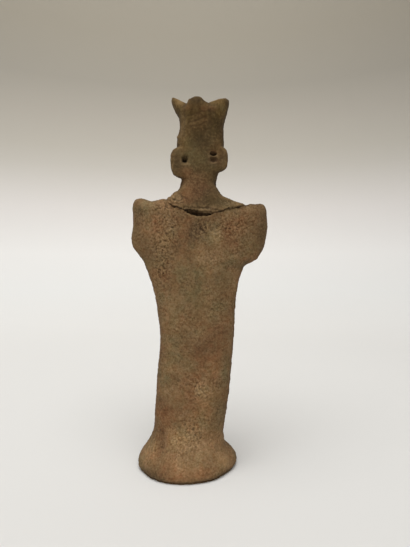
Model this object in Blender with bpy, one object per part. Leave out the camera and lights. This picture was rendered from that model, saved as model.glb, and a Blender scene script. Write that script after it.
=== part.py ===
"""A hand-modelled terracotta votive idol, about 150 mm tall, as one solid of fired clay.

Blender 4.5, metres, +Z up. The origin is the middle of the flat underside. The flat back of the figure looks
along -Y and its face along +Y. +X is the figure's own right-hand side, which is on the right seen from behind.
The sizes below are in millimetres, and MM turns them into metres.
"""

from collections import namedtuple
from math import atan2, cos, pi, radians, sin

import bmesh
import bpy
import numpy as np
from mathutils import Matrix, Vector

MM = 0.001

# One horizontal section of the clay: its height, how far it reaches to each side, and how square it is.
# A square value of 2 is an ellipse, and larger values come nearer to a rounded box.
Section = namedtuple("Section", "height left right back front square")

# The round foot and the flat column body, from under the sole to just below the top of the shoulders.
BODY = (
    Section(-1.5, -18.4, 18.4, -17.3, 18.2, 2.0),  # below the sole, cut off flat at the end
    Section(1.5, -20.3, 20.5, -19.5, 20.2, 2.0),  # lip of the foot
    Section(4.5, -19.6, 19.4, -18.2, 18.6, 2.0),
    Section(7.0, -17.8, 16.8, -16.1, 16.4, 2.0),
    Section(9.6, -16.2, 14.9, -14.1, 14.2, 2.1),
    Section(12.4, -14.8, 14.5, -12.6, 12.6, 2.2),
    Section(16.0, -13.9, 15.2, -11.4, 11.3, 2.3),
    Section(27.0, -13.1, 16.8, -10.2, 10.4, 2.5),
    Section(40.0, -12.1, 18.1, -9.4, 9.7, 2.6),
    Section(52.0, -11.1, 19.1, -8.8, 9.1, 2.7),  # narrowest place
    Section(64.0, -12.3, 19.7, -8.2, 8.5, 2.8),
    Section(73.5, -14.0, 20.6, -7.8, 8.0, 2.9),
    Section(80.6, -16.9, 22.9, -7.5, 7.5, 3.0),
    Section(82.2, -17.6, 23.9, -7.4, 7.4, 3.0),  # underside of the right arm stub
    Section(84.2, -18.5, 28.4, -7.4, 7.2, 3.0),
    Section(86.5, -20.2, 30.0, -7.3, 7.1, 3.1),
    Section(90.8, -22.7, 32.1, -7.3, 6.9, 3.2),
    Section(93.4, -23.1, 32.5, -7.4, 6.9, 3.2),
    Section(99.0, -22.6, 33.1, -7.5, 6.8, 3.3),
    Section(104.4, -22.7, 32.7, -7.8, 6.6, 3.3),
)
BODY_POINTS = 48  # points around each ring of the body
SOLE_RING = 0.3  # a ring just above the sole
FOOT_STEP, COLUMN_STEP, ARM_STEP = 1.4, 3.6, 1.7  # spacing of the rings up the body
FLARE_TOP, ARM_START, SHOULDER_START = 16.0, 73.0, 94.0
BLEND = 12.0  # height over which the arms and the shoulders take up their own shape

FOOT_SKEW, FOOT_SKEW_TOP = 0.05, 12.0  # the foot isn't quite round: its back leans to the left

SHOULDER_EDGE = 104.4  # where the top edge starts to turn over
SHOULDER_RISE, SHOULDER_INSET, SHOULDER_DEPTH_INSET, SHOULDER_TURNS = 3.85, 2.2, 4.6, 6
SHOULDER_TILT = 1.3  # the left shoulder is this much higher than the middle, and the right lower
SHOULDER_DENT_X, SHOULDER_DENT_WIDTH, SHOULDER_DENT = -14.8, 2.8, 1.1
ARM_SWEEP = 2.4  # how far the ends of the arm stubs swing to the front

# The neck, the slab of the head and the tall flaring crown up to where its rim is pinched.
HEAD = (
    Section(104.0, -9.0, 18.0, -6.4, 6.4, 2.3),
    Section(108.2, -8.0, 16.4, -6.4, 6.3, 2.3),
    Section(110.0, -5.8, 13.9, -6.1, 5.9, 2.3),
    Section(112.0, -4.5, 12.4, -5.8, 5.4, 2.4),
    Section(115.0, -2.8, 11.8, -5.4, 5.0, 2.5),
    Section(118.0, -2.2, 12.2, -5.4, 4.4, 2.6),
    Section(122.0, -2.7, 13.4, -5.8, 3.6, 2.8),
    Section(127.0, -3.4, 14.3, -6.3, 3.4, 2.9),
    Section(131.0, -4.2, 15.0, -6.7, 5.6, 2.8),
    Section(133.6, -3.9, 14.9, -7.0, 6.5, 2.7),
    Section(138.0, -3.1, 15.2, -7.4, 6.7, 2.6),
    Section(142.0, -3.6, 15.9, -8.2, 7.2, 2.5),
    Section(146.0, -5.3, 17.0, -9.2, 8.4, 2.4),
    Section(149.6, -6.6, 18.0, -10.2, 9.5, 2.3),
    Section(151.5, -6.4, 18.2, -10.6, 10.0, 2.2),
)
HEAD_POINTS = 44
HEAD_STEP = 2.0

# The crown's rim. Each pair is an angle seen from above, in degrees from +X, and the rim's height there.
RIM = (
    (0, 149.7),  # right point
    (16, 149.8),
    (50, 147.6),
    (78, 150.2),
    (92, 150.8),  # front point
    (106, 150.0),
    (135, 147.4),
    (168, 150.3),
    (180, 150.5),  # left point
    (192, 150.1),
    (210, 147.9),
    (228, 146.1),
    (241, 148.1),  # blunt point at the back
    (265, 148.4),
    (288, 146.2),
    (316, 148.0),
    (344, 149.3),
)
RIM_FOOT = 143.2  # where the hollows between the points begin
RIM_RINGS = 5
HOLLOW_REACH = 0.26  # how far a hollow cuts in from the flare, as a part of the radius
DISH_HEIGHT, DISH_STEEPNESS = 145.4, 1.4  # the shallow dish in the top
DISH_RINGS = 3

# Round flaps for the ears, one on each side of the head.
EAR_LEFT, EAR_RIGHT = (-0.8, 123.7), (10.8, 124.9)
EAR_LEFT_RADII, EAR_RIGHT_RADII = (5.75, 6.25), (5.85, 5.2)
EAR_SQUARE = 3.0
EAR_BACK, EAR_FRONT = -5.7, -1.2
EAR_EDGE = 1.3
HOLE_LEFT, HOLE_RIGHT = (-0.8, 124.6), (10.6, 126.8)
HOLE_LEFT_SIZE, HOLE_RIGHT_SIZE = (2.2, 2.5), (2.8, 1.5)
HOLE_LENGTH, HOLE_TILT = 30.0, 18.0  # the tilt is in degrees, and the holes fall towards the front
DIMPLE, DIMPLE_RADIUS = (10.6, 124.6), 1.3  # a second start at a hole, which doesn't go through

# The flap of neck clay that was pressed down over the back, seen from behind. Each pair is a place across
# the back and the height of the flap's edge there.
FLAP_LOWER = (
    (-8.2, 108.4),
    (-6.3, 106.3),
    (-3.9, 104.9),
    (-0.7, 104.2),
    (5.5, 103.7),
    (10.5, 103.2),
    (13.5, 103.6),
    (16.8, 104.8),
    (23.7, 106.1),
)
FLAP_UPPER = (
    (-8.2, 108.7),
    (-5.0, 111.0),
    (-3.1, 112.3),
    (-2.3, 114.6),
    (4.8, 116.5),
    (11.8, 114.6),
    (12.4, 112.2),
    (14.4, 109.7),
    (17.2, 108.4),
    (20.0, 107.5),
    (23.7, 106.4),
)
FLAP_STATIONS, FLAP_POINTS, FLAP_SQUARE = 20, 16, 5.0
FLAP_BACK, FLAP_FRONT = -8.95, -3.6  # the outer face at its lower edge, and the inner end in the body
FLAP_SLOPE = 0.30  # how fast the outer face runs back to the neck, for each unit of height
FLAP_BOW, FLAP_MIDDLE, FLAP_HALF = 1.5, 5.0, 19.0  # how far the ends follow the round of the shoulders
GAP_LEFT, GAP_RIGHT, GAP_TOP, GAP_FALL, GAP_DROP, GAP_FLOOR = -0.8, 10.8, 104.6, 1.1, 2.1, -5.7

# The plain schematic face on the front: a rounded lump with a pinched nose, pellet eyes and a small mouth.
FACE_CENTRE, FACE_RADII = (5.3, 2.4, 124.2), (6.1, 6.3, 7.8)
NOSE_TOP, NOSE_BOTTOM = 129.6, 122.5
NOSE_ROOT_WIDTH, NOSE_BASE_WIDTH, NOSE_RIDGE = 2.0, 3.6, 0.55  # the ridge is this part of each width
NOSE_BACK, NOSE_ROOT_REACH, NOSE_TIP_REACH = 5.5, 8.7, 12.0
NOSE_EDGE = 0.45
EYE_SPREAD, EYE_HEIGHT, EYE_RADIUS, EYE_BULGE, EYE_REACH = 3.2, 126.3, 1.75, 1.1, 7.4
PUPIL_RADIUS = 0.55
MOUTH_HEIGHT, MOUTH_WIDTH, MOUTH_OPENING, MOUTH_DEPTH, MOUTH_REACH = 119.9, 4.0, 0.8, 1.0, 7.9

ROUND_POINTS, SMALL_POINTS, TINY_POINTS = 24, 16, 10  # points around the face, the eyes and the dimples
CUTTER_REACH = 40.0  # how far the cutting shapes stand clear of the clay

COLOUR = (0.165, 0.098, 0.043, 1.0)
ROUGHNESS = 0.9
SHARP_ANGLE = 40.0  # degrees


def smooth_through(places, values, at):
    """The value at one place on a smooth line through the given values, which never overshoots them."""
    places, values = np.asarray(places, float), np.asarray(values, float)
    steps = np.diff(places)
    slopes = np.diff(values) / steps
    tangents = np.concatenate([slopes[:1], np.zeros(len(slopes) - 1), slopes[-1:]])
    for i in range(1, len(slopes)):
        if slopes[i - 1] * slopes[i] > 0:
            tangents[i] = 2 * slopes[i - 1] * slopes[i] / (slopes[i - 1] + slopes[i])
    i = int(np.clip(np.searchsorted(places, at) - 1, 0, len(steps) - 1))
    t = (at - places[i]) / steps[i]
    ends = values[i] * (1 + 2 * t) * (1 - t) ** 2 + values[i + 1] * t * t * (3 - 2 * t)
    return ends + steps[i] * t * (1 - t) * (tangents[i] * (1 - t) - tangents[i + 1] * t)


def section_at(sections, height):
    """The section between the given ones at a height."""
    heights = [s.height for s in sections]
    values = [smooth_through(heights, column, height) for column in list(zip(*sections))[1:]]
    return Section(height, *values)


def section_point(section, angle, inset_x=0.0, inset_y=0.0):
    """A point of a section's outline. The angle goes round from +X towards +Y."""
    middle = (section.left + section.right) / 2
    half_width = (section.right - section.left) / 2 - inset_x
    half_depth = (section.front if sin(angle) > 0 else -section.back) - inset_y
    power = 2 / section.square
    across = np.sign(cos(angle)) * abs(cos(angle)) ** power
    along = np.sign(sin(angle)) * abs(sin(angle)) ** power
    return middle + half_width * across, half_depth * along


def angles(count):
    """This many angles, evenly round a full turn."""
    return [2 * pi * i / count for i in range(count)]


def ease(value):
    """0 below 0, 1 above 1 and a soft step between."""
    value = min(max(value, 0.0), 1.0)
    return value * value * (3 - 2 * value)


def loft(name, rings):
    """A closed solid through rings of points, all with as many points, from the lowest to the last."""
    bm = bmesh.new()
    rings = [[bm.verts.new(Vector(point) * MM) for point in ring] for ring in rings]
    loops = [[bm.edges.new((a, b)) for a, b in zip(ring, ring[1:] + ring[:1])] for ring in rings]
    for below, above in zip(loops, loops[1:]):
        bmesh.ops.bridge_loops(bm, edges=below + above)
    close(bm, rings[0])
    close(bm, rings[-1])
    return solid(name, bm)


def close(bm, points):
    """Closes the end of a loft with a strip of faces that runs across it from side to side."""
    count = len(points)
    for i in range(count // 2):
        corners = [points[i], points[i + 1], points[(count - i - 1) % count], points[-i % count]]
        bm.faces.new(dict.fromkeys(corners))


def solid(name, bm):
    """An object from a mesh, with its faces pointing out."""
    bmesh.ops.recalc_face_normals(bm, faces=bm.faces)
    mesh = bpy.data.meshes.new(name)
    bm.to_mesh(mesh)
    bm.free()
    made = bpy.data.objects.new(name, mesh)
    bpy.context.scene.collection.objects.link(made)
    return made


def ball(name, centre, radii, points):
    """A ball stretched to the given radii, with this many points around it."""
    bm = bmesh.new()
    bmesh.ops.create_uvsphere(bm, u_segments=points, v_segments=points // 2, radius=MM)
    bmesh.ops.scale(bm, vec=Vector(radii), verts=bm.verts)
    bmesh.ops.translate(bm, vec=Vector(centre) * MM, verts=bm.verts)
    return solid(name, bm)


def prism(name, outline, back, front, edge=0.0):
    """A plate along Y with the outline given in X and Z. The edges of its two faces may be rounded."""
    bm = bmesh.new()
    corners = [bm.verts.new(Vector((x, back, z)) * MM) for x, z in outline]
    face = bm.faces.new(corners)
    inner = bmesh.ops.extrude_face_region(bm, geom=[face])["geom"]
    for point in (item for item in inner if isinstance(item, bmesh.types.BMVert)):
        point.co.y = front * MM
    if edge:
        bmesh.ops.recalc_face_normals(bm, faces=bm.faces)
        rims = [e for e in bm.edges if e.verts[0].co.y == e.verts[1].co.y]
        bmesh.ops.bevel(
            bm, geom=rims, offset=edge * MM, affect="EDGES", segments=3, profile=0.5, material=-1
        )
    return solid(name, bm)


def ear_hole(name, place, size):
    """An oval rod through an ear flap, which falls towards the front."""
    bm = bmesh.new()
    bmesh.ops.create_cone(
        bm,
        cap_ends=True,
        segments=SMALL_POINTS,
        radius1=MM / 2,
        radius2=MM / 2,
        depth=HOLE_LENGTH * MM,
    )
    bmesh.ops.rotate(bm, matrix=Matrix.Rotation(radians(90), 3, "X"), verts=bm.verts)
    bmesh.ops.scale(bm, vec=Vector((size[0], 1, size[1])), verts=bm.verts)
    bmesh.ops.rotate(bm, matrix=Matrix.Rotation(radians(-HOLE_TILT), 3, "X"), verts=bm.verts)
    bmesh.ops.translate(bm, vec=Vector((place[0], EAR_BACK, place[1])) * MM, verts=bm.verts)
    return solid(name, bm)


def shape_of_body():
    """The foot, the column and the shoulder slab with its two arm stubs, in one loft."""
    heights = [BODY[0].height, SOLE_RING]
    heights += list(np.arange(BODY[1].height, FLARE_TOP, FOOT_STEP))
    heights += list(np.arange(FLARE_TOP, ARM_START, COLUMN_STEP))
    heights += list(np.arange(ARM_START, SHOULDER_EDGE - ARM_STEP / 2, ARM_STEP))
    rings = [body_ring(height) for height in heights]
    for step in range(SHOULDER_TURNS + 1):
        turn = step / SHOULDER_TURNS * pi / 2
        rings.append(body_ring(SHOULDER_EDGE + SHOULDER_RISE * sin(turn), 1 - cos(turn)))
    return loft("idol", rings)


def body_ring(height, rounding=0.0):
    """A ring of the body. The rounding, from 0 to 1, draws it in towards the top of the shoulders."""
    inset_x, inset_y = SHOULDER_INSET * rounding, SHOULDER_DEPTH_INSET * rounding
    section = section_at(BODY, min(height, SHOULDER_EDGE))
    middle, half = (section.left + section.right) / 2, (section.right - section.left) / 2
    shoulder = ease((height - SHOULDER_START) / BLEND)
    arm = ease((height - ARM_START) / BLEND)
    skew = FOOT_SKEW * ease(1 - height / FOOT_SKEW_TOP)
    ring = []
    for angle in angles(BODY_POINTS):
        x, y = section_point(section, angle, inset_x, inset_y)
        out = (x - middle) / half
        dent = SHOULDER_DENT * np.exp(-(((x - SHOULDER_DENT_X) / SHOULDER_DENT_WIDTH) ** 2))
        lift = shoulder * (-SHOULDER_TILT * out - dent)
        ring.append((x + skew * y, y + arm * ARM_SWEEP * out**4, height + lift))
    return ring


def shape_of_head():
    """The neck, the slab of the head and the crown with its pinched rim and dished top."""
    rings = []
    for height in np.arange(HEAD[0].height, RIM_FOOT, HEAD_STEP):
        section = section_at(HEAD, height)
        rings.append([(*section_point(section, angle), height) for angle in angles(HEAD_POINTS)])
    for step in range(RIM_RINGS + 1):
        rings.append([rim_point(angle, step / RIM_RINGS) for angle in angles(HEAD_POINTS)])
    for step in range(1, DISH_RINGS + 1):
        rings.append([dish_point(angle, step / (DISH_RINGS + 1)) for angle in angles(HEAD_POINTS)])
    return loft("head", rings)


def rim_height(angle):
    """Height of the crown's rim over a point of its widest section. The line of the rim closes on itself."""
    x, y = section_point(HEAD[-1], angle)
    degrees = atan2(y, x - (HEAD[-1].left + HEAD[-1].right) / 2) * 180 / pi % 360
    places, values = zip(*RIM)
    places = (places[-1] - 360, *places, places[0] + 360)
    values = (values[-1], *values, values[0])
    return smooth_through(places, values, degrees)


def rim_point(angle, part):
    """A point between the foot of the rim, at part 0, and its edge, at part 1."""
    top = rim_height(angle)
    height = RIM_FOOT + (top - RIM_FOOT) * part
    section = section_at(HEAD, height)
    x, y = section_point(section, angle)
    middle = (section.left + section.right) / 2
    lowest, highest = min(h for _, h in RIM), max(h for _, h in RIM)
    hollow = HOLLOW_REACH * (highest - top) / (highest - lowest) * part**2
    return middle + (x - middle) * (1 - hollow), y * (1 - hollow), height


def dish_point(angle, part):
    """A point of the dish, from the rim's edge at part 0 to its middle at part 1."""
    x, y, height = rim_point(angle, 1.0)
    middle = (HEAD[-1].left + HEAD[-1].right) / 2
    sunk = height + (DISH_HEIGHT - height) * ease(DISH_STEEPNESS * part)
    return middle + (x - middle) * (1 - part), y * (1 - part), sunk


def shape_of_ear(name, centre, radii):
    """A flat lug with rounded corners."""
    lug = Section(0.0, -radii[0], radii[0], -radii[1], radii[1], EAR_SQUARE)
    outline = [section_point(lug, angle) for angle in angles(ROUND_POINTS)]
    outline = [(centre[0] + x, centre[1] + z) for x, z in outline]
    return prism(name, outline, EAR_BACK, EAR_FRONT, edge=EAR_EDGE)


def shape_of_flap():
    """A spreading flap with a long thin end to the right, in one loft from its left end."""
    rings = []
    for x in np.linspace(FLAP_LOWER[0][0], FLAP_LOWER[-1][0], FLAP_STATIONS):
        low, high = (smooth_through(*zip(*line), x) for line in (FLAP_LOWER, FLAP_UPPER))
        bow = FLAP_BOW * ((x - FLAP_MIDDLE) / FLAP_HALF) ** 2
        side = Section(x, low, high, -1.0, 1.0, FLAP_SQUARE)
        ring = []
        for angle in angles(FLAP_POINTS):
            height, along = section_point(side, angle)
            back = FLAP_BACK + bow + FLAP_SLOPE * (height - low)
            ring.append((x, back + (FLAP_FRONT - back) * (1 + along) / 2, height))
        rings.append(ring)
    return loft("flap", rings)


def shape_of_nose():
    """A pinched ridge that runs from the brow down to a blunt tip."""
    bm = bmesh.new()
    bmesh.ops.create_cube(bm, size=1.0)
    for point in bm.verts:
        top, ridge = point.co.z > 0, point.co.y > 0
        width = NOSE_ROOT_WIDTH if top else NOSE_BASE_WIDTH
        reach = NOSE_ROOT_REACH if top else NOSE_TIP_REACH
        x = FACE_CENTRE[0] + point.co.x * width * (NOSE_RIDGE if ridge else 1.0)
        point.co = Vector((x, reach if ridge else NOSE_BACK, NOSE_TOP if top else NOSE_BOTTOM)) * MM
    bmesh.ops.bevel(
        bm, geom=bm.edges, offset=NOSE_EDGE * MM, affect="EDGES", segments=2, profile=0.5, material=-1
    )
    return solid("nose", bm)


def gap_under_flap():
    """The cutting shape for the open gap under the flap: its top falls to the right, and below it is bowed."""
    bow = []
    for turn in np.linspace(0, pi, TINY_POINTS):
        part = (1 - cos(turn)) / 2
        height = GAP_TOP - GAP_FALL * part - GAP_DROP * sin(turn)
        bow.append((GAP_LEFT + (GAP_RIGHT - GAP_LEFT) * part, height))
    return prism("gap_under_flap", bow, -CUTTER_REACH, GAP_FLOOR)


def below_the_sole():
    """The cutting shape that makes the underside flat at height 0."""
    corners = [(-CUTTER_REACH, -CUTTER_REACH), (CUTTER_REACH, -CUTTER_REACH)]
    corners += [(CUTTER_REACH, 0), (-CUTTER_REACH, 0)]
    return prism("below_the_sole", corners, -CUTTER_REACH, CUTTER_REACH)


def face_parts():
    """The lump of the face with its nose and eyes, and the shapes that cut its mouth and pupils."""
    x, eye_z = FACE_CENTRE[0], EYE_HEIGHT
    mouth_size = (MOUTH_WIDTH / 2, MOUTH_DEPTH, MOUTH_OPENING / 2)
    added = [ball("face", FACE_CENTRE, FACE_RADII, ROUND_POINTS), shape_of_nose()]
    removed = [ball("mouth", (x, MOUTH_REACH, MOUTH_HEIGHT), mouth_size, TINY_POINTS)]
    for side, eye_x in (("left", x - EYE_SPREAD), ("right", x + EYE_SPREAD)):
        eye_size, pupil = (EYE_RADIUS, EYE_BULGE, EYE_RADIUS), (eye_x, EYE_REACH + EYE_BULGE, eye_z)
        added.append(ball(side + "_eye", (eye_x, EYE_REACH, eye_z), eye_size, SMALL_POINTS))
        removed.append(ball(side + "_pupil", pupil, (PUPIL_RADIUS,) * 3, TINY_POINTS))
    return added, removed


def join(target, tool, operation):
    """Adds a Boolean to the target. The tool stays in the file as a hidden guide."""
    modifier = target.modifiers.new(tool.name, "BOOLEAN")
    modifier.operation = operation
    modifier.solver = "EXACT"
    modifier.object = tool
    tool.hide_render = True
    tool.display_type = "WIRE"


def clay():
    """Plain fired clay."""
    material = bpy.data.materials.new("terracotta")
    material.use_nodes = True
    shader = material.node_tree.nodes["Principled BSDF"]
    shader.inputs["Base Color"].default_value = COLOUR
    shader.inputs["Roughness"].default_value = ROUGHNESS
    shader.inputs["Metallic"].default_value = 0.0
    return material


def main():
    for old in list(bpy.data.objects):
        bpy.data.objects.remove(old, do_unlink=True)

    idol = shape_of_body()
    face_added, face_removed = face_parts()
    added = [
        shape_of_head(),
        shape_of_flap(),
        shape_of_ear("left_ear", EAR_LEFT, EAR_LEFT_RADII),
        shape_of_ear("right_ear", EAR_RIGHT, EAR_RIGHT_RADII),
        *face_added,
    ]
    for piece in added:
        join(idol, piece, "UNION")

    dimple = (DIMPLE[0], EAR_BACK, DIMPLE[1])
    removed = [
        ear_hole("left_ear_hole", HOLE_LEFT, HOLE_LEFT_SIZE),
        ear_hole("right_ear_hole", HOLE_RIGHT, HOLE_RIGHT_SIZE),
        ball("right_ear_dimple", dimple, (DIMPLE_RADIUS,) * 3, TINY_POINTS),
        gap_under_flap(),
        *face_removed,
        below_the_sole(),
    ]
    for piece in removed:
        join(idol, piece, "DIFFERENCE")

    idol.data.materials.append(clay())
    idol.data.shade_smooth()
    idol.data.set_sharp_from_angle(angle=radians(SHARP_ANGLE))


main()
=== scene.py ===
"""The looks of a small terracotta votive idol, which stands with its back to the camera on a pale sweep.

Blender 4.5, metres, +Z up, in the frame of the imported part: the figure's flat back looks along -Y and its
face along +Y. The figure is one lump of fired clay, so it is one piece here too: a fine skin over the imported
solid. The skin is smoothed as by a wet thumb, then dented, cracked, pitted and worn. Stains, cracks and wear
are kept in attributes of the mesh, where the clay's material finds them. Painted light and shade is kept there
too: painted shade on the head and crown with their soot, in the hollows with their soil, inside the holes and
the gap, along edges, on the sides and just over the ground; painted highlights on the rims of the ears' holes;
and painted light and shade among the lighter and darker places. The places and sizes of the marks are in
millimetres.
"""

from collections import namedtuple
from math import cos, pi, radians, sin

import bmesh
import bpy
import numpy as np
from bpy.props import FloatProperty, FloatVectorProperty, IntProperty, PointerProperty
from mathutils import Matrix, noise


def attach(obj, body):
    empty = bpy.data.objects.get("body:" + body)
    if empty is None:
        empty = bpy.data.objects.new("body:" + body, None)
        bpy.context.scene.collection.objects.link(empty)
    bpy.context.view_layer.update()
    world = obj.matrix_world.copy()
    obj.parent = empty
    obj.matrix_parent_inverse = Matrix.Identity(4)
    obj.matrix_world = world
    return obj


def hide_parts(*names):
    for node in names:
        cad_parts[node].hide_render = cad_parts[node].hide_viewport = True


bl_info = {
    "name": "Terracotta votive idol",
    "version": (1, 0, 0),
    "blender": (4, 5, 0),
    "location": "3D View > Sidebar > Idol",
    "description": "Models the fired clay figure and the pale sweep that it stands on",
    "category": "Object",
}

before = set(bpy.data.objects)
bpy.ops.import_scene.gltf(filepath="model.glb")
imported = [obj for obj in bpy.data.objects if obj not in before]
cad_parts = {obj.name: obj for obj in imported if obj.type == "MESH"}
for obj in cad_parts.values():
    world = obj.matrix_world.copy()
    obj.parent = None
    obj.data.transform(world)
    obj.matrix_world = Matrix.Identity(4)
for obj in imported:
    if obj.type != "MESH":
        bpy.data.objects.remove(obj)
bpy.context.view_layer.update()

MM = 0.001
MERGE = 1e-6  # points closer than this, in metres, become one
BACK_HALF = -4.5  # lines over the back are drawn where y is less than this
FACE_HALF = 3.5  # and lines over the face where y is more than this
FACE_MIDDLE = 5.3  # the face is the same on both sides of this x
SOLE = 0.05  # the clay stays flat where z is less than this

# A soft-edged place on the figure: its middle, how far it reaches along each axis, and how strong it is.
Mark = namedtuple("Mark", "x y z wide deep tall amount")

# A line over the back or the face: its (x, z) points in order, its width and how strong it is.
Line = namedtuple("Line", "path width amount")

# Lines over the back that are alike: their paths, width, waver and depth, and how strongly they are coloured.
Lines = namedtuple("Lines", "paths width waver depth tint")

# Hollows pressed into the wet clay. The amount is a depth, and a negative one is a swelling.
DENTS = (
    # crown
    Mark(-3.6, -10.0, 148.6, 2.4, 2.5, 1.7, 0.7),  # bevels on its rim
    Mark(12.6, -10.0, 148.3, 3.4, 2.5, 1.6, 0.8),
    Mark(16.6, -6.0, 149.2, 0.9, 3.0, 0.8, 0.5),
    Mark(1.4, -8.0, 148.8, 1.3, 5.0, 1.3, 0.8),  # left side of its middle point
    Mark(-4.0, 0.0, 141.0, 1.5, 12.0, 4.0, 0.3),  # waist
    Mark(15.8, 0.0, 140.0, 1.5, 12.0, 4.5, 0.5),
    Mark(-3.5, -3.0, 133.8, 0.7, 1.2, 0.7, -0.6),  # a crumb of clay on the left edge
    # left ear, whose hole is a funnel above, has a rim below and is narrower further in
    Mark(-0.4, -6.0, 125.4, 1.6, 2.0, 1.1, 0.35),
    Mark(-0.6, -6.0, 122.4, 1.7, 2.0, 0.6, -0.25),
    Mark(-0.9, -3.4, 123.9, 1.3, 3.0, 1.5, -0.3),
    # right ear
    Mark(10.6, -6.0, 127.9, 1.8, 2.0, 0.7, 0.35),
    Mark(10.6, -3.6, 126.4, 1.5, 3.0, 0.9, -0.3),
    Mark(10.6, -6.0, 125.6, 1.8, 2.0, 0.35, -0.25),  # rim between the hole and its blind start
    Mark(10.6, -5.8, 124.2, 1.1, 1.5, 0.75, 0.8),  # blind start
    Mark(10.7, -6.0, 122.9, 1.6, 2.0, 0.5, -0.2),
    # flap of neck clay
    Mark(3.0, -7.0, 111.5, 1.6, 3.0, 2.0, 0.2),
    Mark(13.6, -7.0, 107.5, 2.5, 3.0, 1.5, 0.3),
    Mark(7.0, -7.8, 104.1, 3.4, 1.6, 0.5, -0.5),  # a ragged lip over the gap
    Mark(24.0, -4.0, 107.3, 1.0, 6.0, 1.2, 0.8),  # notch beside its right end
    # shoulders and arm stubs
    Mark(17.0, -6.0, 109.2, 2.0, 4.0, 1.0, -0.45),  # beside the neck
    Mark(-4.8, -6.0, 111.2, 1.5, 4.0, 1.2, -0.4),
    Mark(-19.0, -4.0, 109.0, 4.0, 6.0, 1.8, -0.55),  # corners and edges
    Mark(-9.7, -4.0, 108.9, 1.5, 6.0, 1.5, -0.35),
    Mark(-22.0, -3.0, 92.0, 2.0, 6.0, 4.5, -0.5),
    Mark(31.0, -4.0, 108.2, 2.2, 6.0, 2.4, -0.9),
    Mark(32.2, -4.0, 105.5, 1.6, 6.0, 2.4, -0.25),
    Mark(24.4, -3.0, 82.8, 1.6, 6.0, 1.6, 0.7),
    Mark(-14.5, -6.5, 97.0, 4.0, 3.0, 5.0, 0.25),  # hollows in their backs
    Mark(24.0, -6.0, 97.0, 4.5, 3.0, 5.0, 0.2),
    Mark(6.4, -7.4, 96.2, 2.2, 2.0, 2.6, 0.25),  # between the shoulders
    Mark(9.6, -7.4, 95.0, 2.6, 2.0, 3.6, -0.15),
    # column
    Mark(19.9, -3.0, 73.3, 1.5, 6.0, 2.5, -0.4),  # right edge, under the stub
    Mark(5.5, -10.0, 34.0, 2.4, 3.0, 3.4, -0.35),  # a low lump in the middle of the back
    Mark(8.5, -9.5, 27.0, 3.0, 3.0, 5.0, 0.15),
    # foot
    Mark(-10.0, -11.5, 13.2, 1.8, 5.0, 5.0, 1.0),  # a thumb's hollow in the left of the flare
    Mark(-13.4, -10.0, 11.0, 1.6, 4.0, 4.5, -0.5),
    Mark(15.0, -3.0, 11.2, 2.2, 8.0, 2.4, -0.85),  # where the column's right edge runs into the flare
    Mark(16.5, -10.0, 1.5, 5.0, 6.0, 2.0, 0.5),  # lower edge
    Mark(-17.0, -9.0, 1.5, 4.0, 6.0, 2.0, 0.4),
    # front
    Mark(5.3, 9.2, 121.4, 0.5, 1.5, 0.6, 0.2),  # between the nose and the mouth
    Mark(5.3, 8.4, 118.5, 1.8, 1.5, 0.5, 0.25),  # under the mouth
    Mark(5.3, 7.0, 117.4, 1.8, 2.5, 1.2, -0.55),  # chin
    Mark(0.0, 8.5, 98.0, 6.0, 3.0, 7.0, 0.25),  # chest
    Mark(14.0, 8.0, 90.0, 5.0, 3.0, 8.0, 0.2),
    Mark(2.0, 10.0, 40.0, 4.0, 3.0, 12.0, 0.25),  # column
    Mark(9.0, 10.0, 30.0, 3.0, 3.0, 7.0, -0.25),
    Mark(8.0, 13.0, 12.0, 2.4, 5.0, 4.0, 0.5),  # a thumb's hollow in the flare
)

# The same for the left half of the face. The right half is its mirror.
FACE_DENTS = (
    Mark(2.1, 8.4, 127.6, 1.9, 1.5, 0.6, 0.45),  # above and below the eye
    Mark(2.1, 8.4, 124.8, 1.9, 1.5, 0.6, 0.35),
    Mark(2.1, 8.6, 126.2, 0.4, 1.5, 0.4, 0.35),  # pupil
    Mark(3.8, 8.4, 126.9, 0.6, 1.5, 1.0, 0.3),  # inner corner of the eye
    Mark(1.9, 7.2, 122.7, 1.7, 2.5, 1.8, -0.35),  # cheek
    Mark(3.7, 9.6, 123.2, 0.8, 1.2, 0.75, -0.55),  # wing of the nose
    Mark(4.6, 10.6, 122.5, 0.4, 0.9, 0.4, 0.5),  # nostril
)

# Soft lines over the left half of the face. The amount is a height, and a negative one is a groove.
FACE_LINES = (
    Line(((5.3, 129.2), (3.9, 129.4), (2.1, 129.1), (0.6, 127.9), (0.0, 126.3)), 0.6, 0.5),  # brow
    Line(((0.8, 126.1), (1.3, 127.0), (2.2, 127.5), (3.2, 127.1), (3.9, 126.1)), 0.36, 0.42),  # upper lid
    Line(((0.8, 126.1), (1.4, 125.3), (2.2, 125.0), (3.2, 125.3), (3.9, 126.1)), 0.34, 0.3),  # lower lid
    Line(((5.3, 120.55), (4.6, 120.8), (3.5, 120.25)), 0.42, 0.5),  # upper lip
    Line(((5.3, 119.1), (4.3, 119.25), (3.5, 119.8)), 0.46, 0.55),  # lower lip
    Line(((5.3, 119.9), (4.2, 119.95), (3.2, 120.05)), 0.26, -0.6),  # mouth
)
FACE_WAVER = 0.1

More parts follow.
